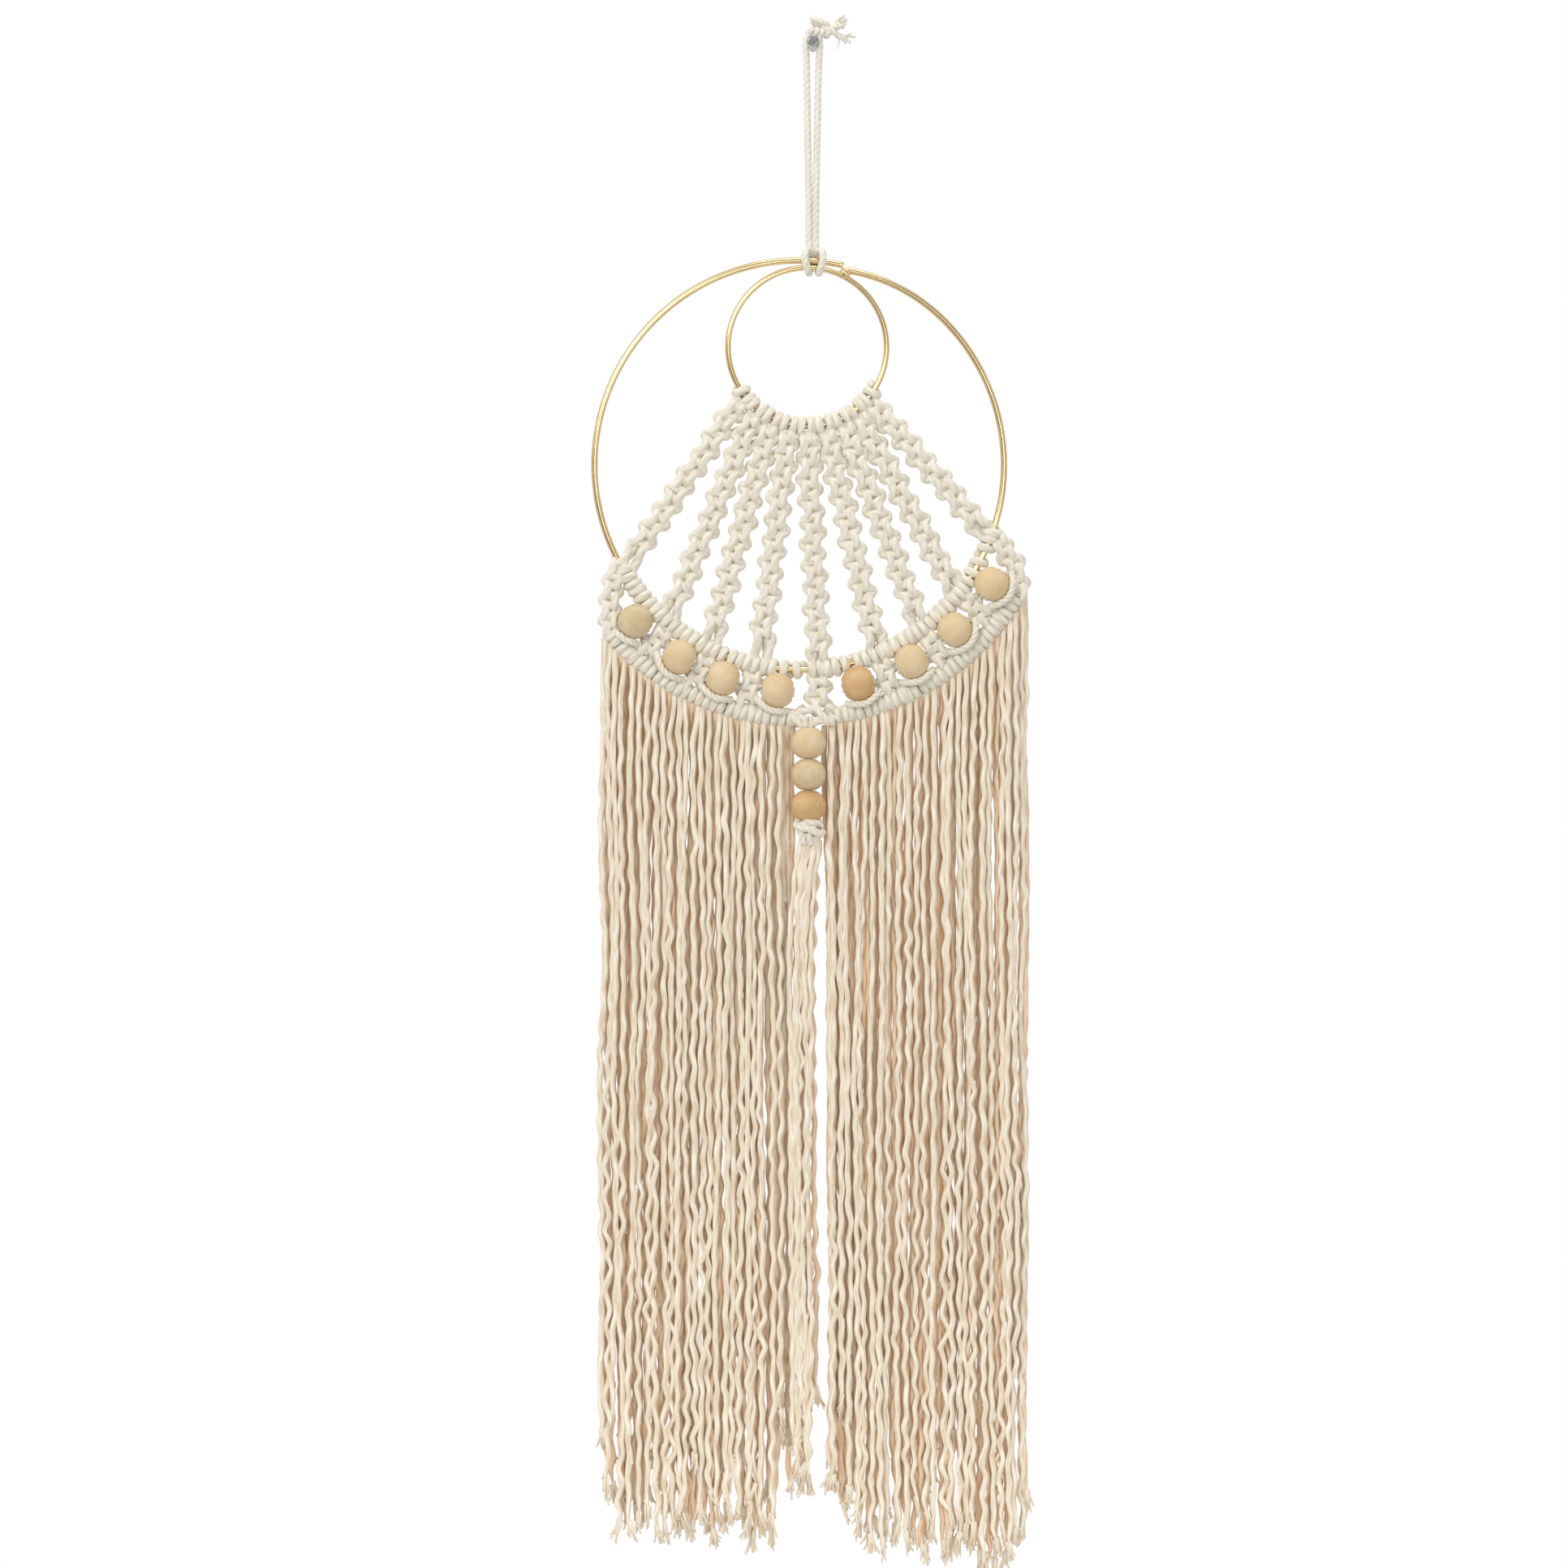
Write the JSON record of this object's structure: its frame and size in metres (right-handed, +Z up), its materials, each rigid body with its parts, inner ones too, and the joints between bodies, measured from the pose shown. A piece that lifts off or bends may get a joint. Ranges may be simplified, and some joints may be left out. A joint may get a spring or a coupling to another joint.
{
  "type": "macrame wall hanging",
  "caption": "Cotton macrame wall hanging: a large and a small brass ring joined by fanned knotted cords, wooden beads, a beaded drop and a long fringe, on a cord loop over a screw.",
  "frame": {"origin": "on the wall screw's axis, at the wall's face", "axes": "+X to the right seen from the room, +Y into the wall, +Z up"},
  "size_m": [0.2091, 0.047, 0.7452],
  "materials": {
    "screw_steel": "bright zinc plate",
    "brass_wire": "drawn wire, satin",
    "braze": "rough braze",
    "hanger_cord": "three-strand twisted cotton",
    "knotted_cord": "three-strand twisted cotton, knotted",
    "fringe_cord": "single unravelled cotton strands, crimped",
    "wood_pale": "turned, unvarnished",
    "wood_tan": "turned, unvarnished",
    "wood_olive": "turned, unvarnished"
  },
  "bodies": {
    "wall_fixing": {"wall_screw": "screw_steel"},
    "hanger": {"hanger_loop": "hanger_cord", "hanger_knot": "hanger_cord"},
    "panel": {"large_ring": "brass_wire", "small_ring": "brass_wire", "ring_braze": "braze", "larks_head": "hanger_cord", "head_knots": "knotted_cord", "sinnet_1": "knotted_cord", "sinnet_2": "knotted_cord", "sinnet_3": "knotted_cord", "sinnet_4": "knotted_cord", "sinnet_5": "knotted_cord", "sinnet_6": "knotted_cord", "sinnet_7": "knotted_cord", "sinnet_8": "knotted_cord", "sinnet_9": "knotted_cord", "ring_hitches_left": "knotted_cord", "ring_hitches_centre": "knotted_cord", "ring_hitches_right": "knotted_cord", "short_sinnet_1": "knotted_cord", "short_sinnet_2": "knotted_cord", "short_sinnet_3": "knotted_cord", "short_sinnet_4": "knotted_cord", "short_sinnet_5": "knotted_cord", "short_sinnet_6": "knotted_cord", "short_sinnet_7": "knotted_cord", "short_sinnet_8": "knotted_cord", "short_sinnet_9": "knotted_cord", "lower_row_left": "knotted_cord", "lower_row_right": "knotted_cord", "holding_cord_left": "knotted_cord", "holding_cord_right": "knotted_cord", "row_join": "knotted_cord", "bead_cords_left": "knotted_cord", "bead_cords_right": "knotted_cord"},
    "bead_1_body": {"bead_1": "wood_olive"},
    "bead_2_body": {"bead_2": "wood_pale"},
    "bead_3_body": {"bead_3": "wood_pale"},
    "bead_4_body": {"bead_4": "wood_pale"},
    "bead_5_body": {"bead_5": "wood_tan"},
    "bead_6_body": {"bead_6": "wood_pale"},
    "bead_7_body": {"bead_7": "wood_pale"},
    "bead_8_body": {"bead_8": "wood_pale"},
    "drop": {"drop_cord": "knotted_cord", "drop_knot": "knotted_cord", "drop_tail": "fringe_cord"},
    "drop_bead_1_body": {"drop_bead_1": "wood_pale"},
    "drop_bead_2_body": {"drop_bead_2": "wood_olive"},
    "drop_bead_3_body": {"drop_bead_3": "wood_tan"},
    "lock_1": {"fringe_lock_1": "fringe_cord"},
    "lock_2": {"fringe_lock_2": "fringe_cord"},
    "lock_3": {"fringe_lock_3": "fringe_cord"},
    "lock_4": {"fringe_lock_4": "fringe_cord"},
    "lock_5": {"fringe_lock_5": "fringe_cord"},
    "lock_6": {"fringe_lock_6": "fringe_cord"},
    "lock_7": {"fringe_lock_7": "fringe_cord"},
    "lock_8": {"fringe_lock_8": "fringe_cord"}
  },
  "joints": [
    {"name": "hanger_swing", "type": "hinge", "parent": "wall_fixing", "child": "hanger", "pos_m": [0, 0, 0], "axis": [0, 1, 0], "range_deg": [-30, 30]},
    {"name": "panel_tilt", "type": "hinge", "parent": "hanger", "child": "panel", "pos_m": [0, -0.007, -0.09925], "axis": [-1, 0, 0], "range_deg": [0, 25]},
    {"name": "bead_1_spin", "type": "hinge", "parent": "panel", "child": "bead_1_body", "pos_m": [-0.08542, -0.0105, -0.27921], "axis": [0.6909, 0, -0.723], "continuous": true},
    {"name": "bead_2_spin", "type": "hinge", "parent": "panel", "child": "bead_2_body", "pos_m": [-0.0644, -0.0105, -0.29632], "axis": [0.848, 0, -0.5299], "continuous": true},
    {"name": "bead_3_spin", "type": "hinge", "parent": "panel", "child": "bead_3_body", "pos_m": [-0.0434, -0.0105, -0.3065], "axis": [0.9415, 0, -0.3371], "continuous": true},
    {"name": "bead_4_spin", "type": "hinge", "parent": "panel", "child": "bead_4_body", "pos_m": [-0.01713, -0.0105, -0.31237], "axis": [0.9954, 0, -0.0958], "continuous": true},
    {"name": "bead_5_spin", "type": "hinge", "parent": "panel", "child": "bead_5_body", "pos_m": [0.02168, -0.0105, -0.30911], "axis": [0.9655, 0, 0.2605], "continuous": true},
    {"name": "bead_6_spin", "type": "hinge", "parent": "panel", "child": "bead_6_body", "pos_m": [0.04726, -0.0105, -0.29857], "axis": [0.8686, 0, 0.4955], "continuous": true},
    {"name": "bead_7_spin", "type": "hinge", "parent": "panel", "child": "bead_7_body", "pos_m": [0.06799, -0.0105, -0.28323], "axis": [0.7278, 0, 0.6858], "continuous": true},
    {"name": "bead_8_spin", "type": "hinge", "parent": "panel", "child": "bead_8_body", "pos_m": [0.08586, -0.0105, -0.26136], "axis": [0.527, 0, 0.8499], "continuous": true},
    {"name": "drop_swing", "type": "hinge", "parent": "panel", "child": "drop", "pos_m": [-0.0023, -0.0105, -0.3271], "axis": [-1, 0, 0], "range_deg": [0, 45]},
    {"name": "drop_bead_1_spin", "type": "hinge", "parent": "drop", "child": "drop_bead_1_body", "pos_m": [-0.0023, -0.0105, -0.3376], "axis": [0, 0, 1], "continuous": true},
    {"name": "drop_bead_2_spin", "type": "hinge", "parent": "drop", "child": "drop_bead_2_body", "pos_m": [-0.0023, -0.0105, -0.3527], "axis": [0, 0, 1], "continuous": true},
    {"name": "drop_bead_3_spin", "type": "hinge", "parent": "drop", "child": "drop_bead_3_body", "pos_m": [-0.0023, -0.0105, -0.3678], "axis": [0, 0, 1], "continuous": true},
    {"name": "lock_1_swing", "type": "hinge", "parent": "panel", "child": "lock_1", "pos_m": [-0.0901, -0.0093, -0.30726], "axis": [-1, 0, 0], "range_deg": [0, 30]},
    {"name": "lock_2_swing", "type": "hinge", "parent": "panel", "child": "lock_2", "pos_m": [-0.0677, -0.0093, -0.32028], "axis": [-1, 0, 0], "range_deg": [0, 30]},
    {"name": "lock_3_swing", "type": "hinge", "parent": "panel", "child": "lock_3", "pos_m": [-0.0453, -0.0093, -0.328], "axis": [-1, 0, 0], "range_deg": [0, 30]},
    {"name": "lock_4_swing", "type": "hinge", "parent": "panel", "child": "lock_4", "pos_m": [-0.0229, -0.0093, -0.33138], "axis": [-1, 0, 0], "range_deg": [0, 30]},
    {"name": "lock_5_swing", "type": "hinge", "parent": "panel", "child": "lock_5", "pos_m": [0.01785, -0.0093, -0.33069], "axis": [-1, 0, 0], "range_deg": [0, 30]},
    {"name": "lock_6_swing", "type": "hinge", "parent": "panel", "child": "lock_6", "pos_m": [0.04225, -0.0093, -0.32526], "axis": [-1, 0, 0], "range_deg": [0, 30]},
    {"name": "lock_7_swing", "type": "hinge", "parent": "panel", "child": "lock_7", "pos_m": [0.06665, -0.0093, -0.31431], "axis": [-1, 0, 0], "range_deg": [0, 30]},
    {"name": "lock_8_swing", "type": "hinge", "parent": "panel", "child": "lock_8", "pos_m": [0.09105, -0.0093, -0.29587], "axis": [-1, 0, 0], "range_deg": [0, 30]}
  ]
}
